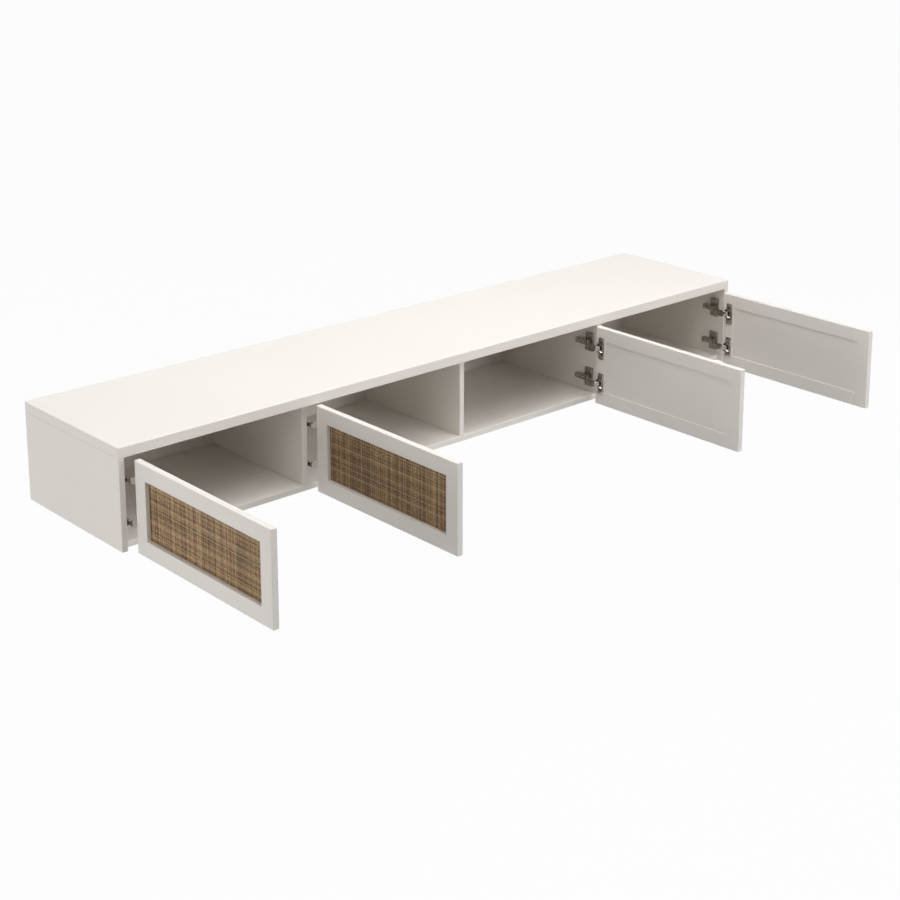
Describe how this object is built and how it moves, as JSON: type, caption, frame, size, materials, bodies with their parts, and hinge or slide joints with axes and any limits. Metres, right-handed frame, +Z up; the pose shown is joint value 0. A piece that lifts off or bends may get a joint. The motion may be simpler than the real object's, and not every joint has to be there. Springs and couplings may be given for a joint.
{
  "type": "floating media console",
  "caption": "Long wall-hung media console: open compartments behind hinged frame doors with recessed woven rattan panels.",
  "frame": {"origin": "middle of the wall rail's face, where it lies against the wall", "axes": "+X along the console, to the right as seen from the room; +Y into the wall; +Z up"},
  "size_m": [2, 0.912, 0.24],
  "materials": {
    "painted_mdf": "satin paint, warm off-white",
    "woven_rattan": "matte natural brown, fine flat weave",
    "nickel_plated_steel": "satin nickel plating",
    "polished_nickel": "polished nickel plating",
    "zinc_plated_steel": "dull zinc plating"
  },
  "bodies": {
    "carcass": {"top_panel": "painted_mdf", "bottom_panel": "painted_mdf", "left_side": "painted_mdf", "right_side": "painted_mdf", "divider_1": "painted_mdf", "divider_2": "painted_mdf", "divider_3": "painted_mdf", "back_board_1": "painted_mdf", "back_board_2": "painted_mdf", "back_board_3": "painted_mdf", "back_board_4": "painted_mdf", "back_board_5": "painted_mdf", "wall_rail": "zinc_plated_steel", "hanging_rail": "zinc_plated_steel", "door_1_lower_hinge_plate": "nickel_plated_steel", "door_1_lower_hinge_arm": "nickel_plated_steel", "door_1_upper_hinge_plate": "nickel_plated_steel", "door_1_upper_hinge_arm": "nickel_plated_steel", "door_2_lower_hinge_plate": "nickel_plated_steel", "door_2_lower_hinge_arm": "nickel_plated_steel", "door_2_upper_hinge_plate": "nickel_plated_steel", "door_2_upper_hinge_arm": "nickel_plated_steel", "door_3_lower_hinge_plate": "nickel_plated_steel", "door_3_lower_hinge_arm": "nickel_plated_steel", "door_3_upper_hinge_plate": "nickel_plated_steel", "door_3_upper_hinge_arm": "nickel_plated_steel", "door_4_lower_hinge_plate": "nickel_plated_steel", "door_4_lower_hinge_arm": "nickel_plated_steel", "door_4_upper_hinge_plate": "nickel_plated_steel", "door_4_upper_hinge_arm": "nickel_plated_steel"},
    "door_1": {"door_1_frame": "painted_mdf", "door_1_rattan": "woven_rattan", "door_1_backing": "painted_mdf", "door_1_lower_hinge_cup": "nickel_plated_steel", "door_1_upper_hinge_cup": "nickel_plated_steel"},
    "door_2": {"door_2_frame": "painted_mdf", "door_2_rattan": "woven_rattan", "door_2_backing": "painted_mdf", "door_2_lower_hinge_cup": "nickel_plated_steel", "door_2_upper_hinge_cup": "nickel_plated_steel"},
    "door_3": {"door_3_frame": "painted_mdf", "door_3_rattan": "woven_rattan", "door_3_backing": "painted_mdf", "door_3_lower_hinge_cup": "nickel_plated_steel", "door_3_upper_hinge_cup": "nickel_plated_steel"},
    "door_4": {"door_4_frame": "painted_mdf", "door_4_rattan": "woven_rattan", "door_4_backing": "painted_mdf", "door_4_lower_hinge_cup": "nickel_plated_steel", "door_4_upper_hinge_cup": "nickel_plated_steel"},
    "links_1": {"door_1_lower_hinge_link": "polished_nickel", "door_1_upper_hinge_link": "polished_nickel"},
    "links_2": {"door_2_lower_hinge_link": "polished_nickel", "door_2_upper_hinge_link": "polished_nickel"},
    "links_3": {"door_3_lower_hinge_link": "polished_nickel", "door_3_upper_hinge_link": "polished_nickel"},
    "links_4": {"door_4_lower_hinge_link": "polished_nickel", "door_4_upper_hinge_link": "polished_nickel"}
  },
  "joints": [
    {"name": "door_1_hinge", "type": "hinge", "parent": "carcass", "child": "door_1", "pos_m": [-0.98975, -0.41525, 0], "axis": [0, 0, 1], "range_deg": [-5, 90]},
    {"name": "door_2_hinge", "type": "hinge", "parent": "carcass", "child": "door_2", "pos_m": [-0.4845, -0.4105, 0], "axis": [0, 0, 1], "range_deg": [-5, 90]},
    {"name": "door_3_hinge", "type": "hinge", "parent": "carcass", "child": "door_3", "pos_m": [0.4845, -0.4105, 0], "axis": [0, 0, -1], "range_deg": [-5, 90]},
    {"name": "door_4_hinge", "type": "hinge", "parent": "carcass", "child": "door_4", "pos_m": [0.98975, -0.41525, 0], "axis": [0, 0, -1], "range_deg": [-5, 90]},
    {"name": "door_1_links", "type": "hinge", "parent": "carcass", "child": "links_1", "pos_m": [-0.972, -0.379, 0], "axis": [0, 0, 1], "range_deg": [-5, 90]},
    {"name": "door_2_links", "type": "hinge", "parent": "carcass", "child": "links_2", "pos_m": [-0.4715, -0.361, 0], "axis": [0, 0, 1], "range_deg": [-5, 90]},
    {"name": "door_3_links", "type": "hinge", "parent": "carcass", "child": "links_3", "pos_m": [0.4715, -0.361, 0], "axis": [0, 0, -1], "range_deg": [-5, 90]},
    {"name": "door_4_links", "type": "hinge", "parent": "carcass", "child": "links_4", "pos_m": [0.972, -0.379, 0], "axis": [0, 0, -1], "range_deg": [-5, 90]}
  ],
  "couplings": [
    {"joint": "door_1_links", "follows": "door_1_hinge", "ratio": 1},
    {"joint": "door_2_links", "follows": "door_2_hinge", "ratio": 1},
    {"joint": "door_3_links", "follows": "door_3_hinge", "ratio": 1},
    {"joint": "door_4_links", "follows": "door_4_hinge", "ratio": 1}
  ]
}
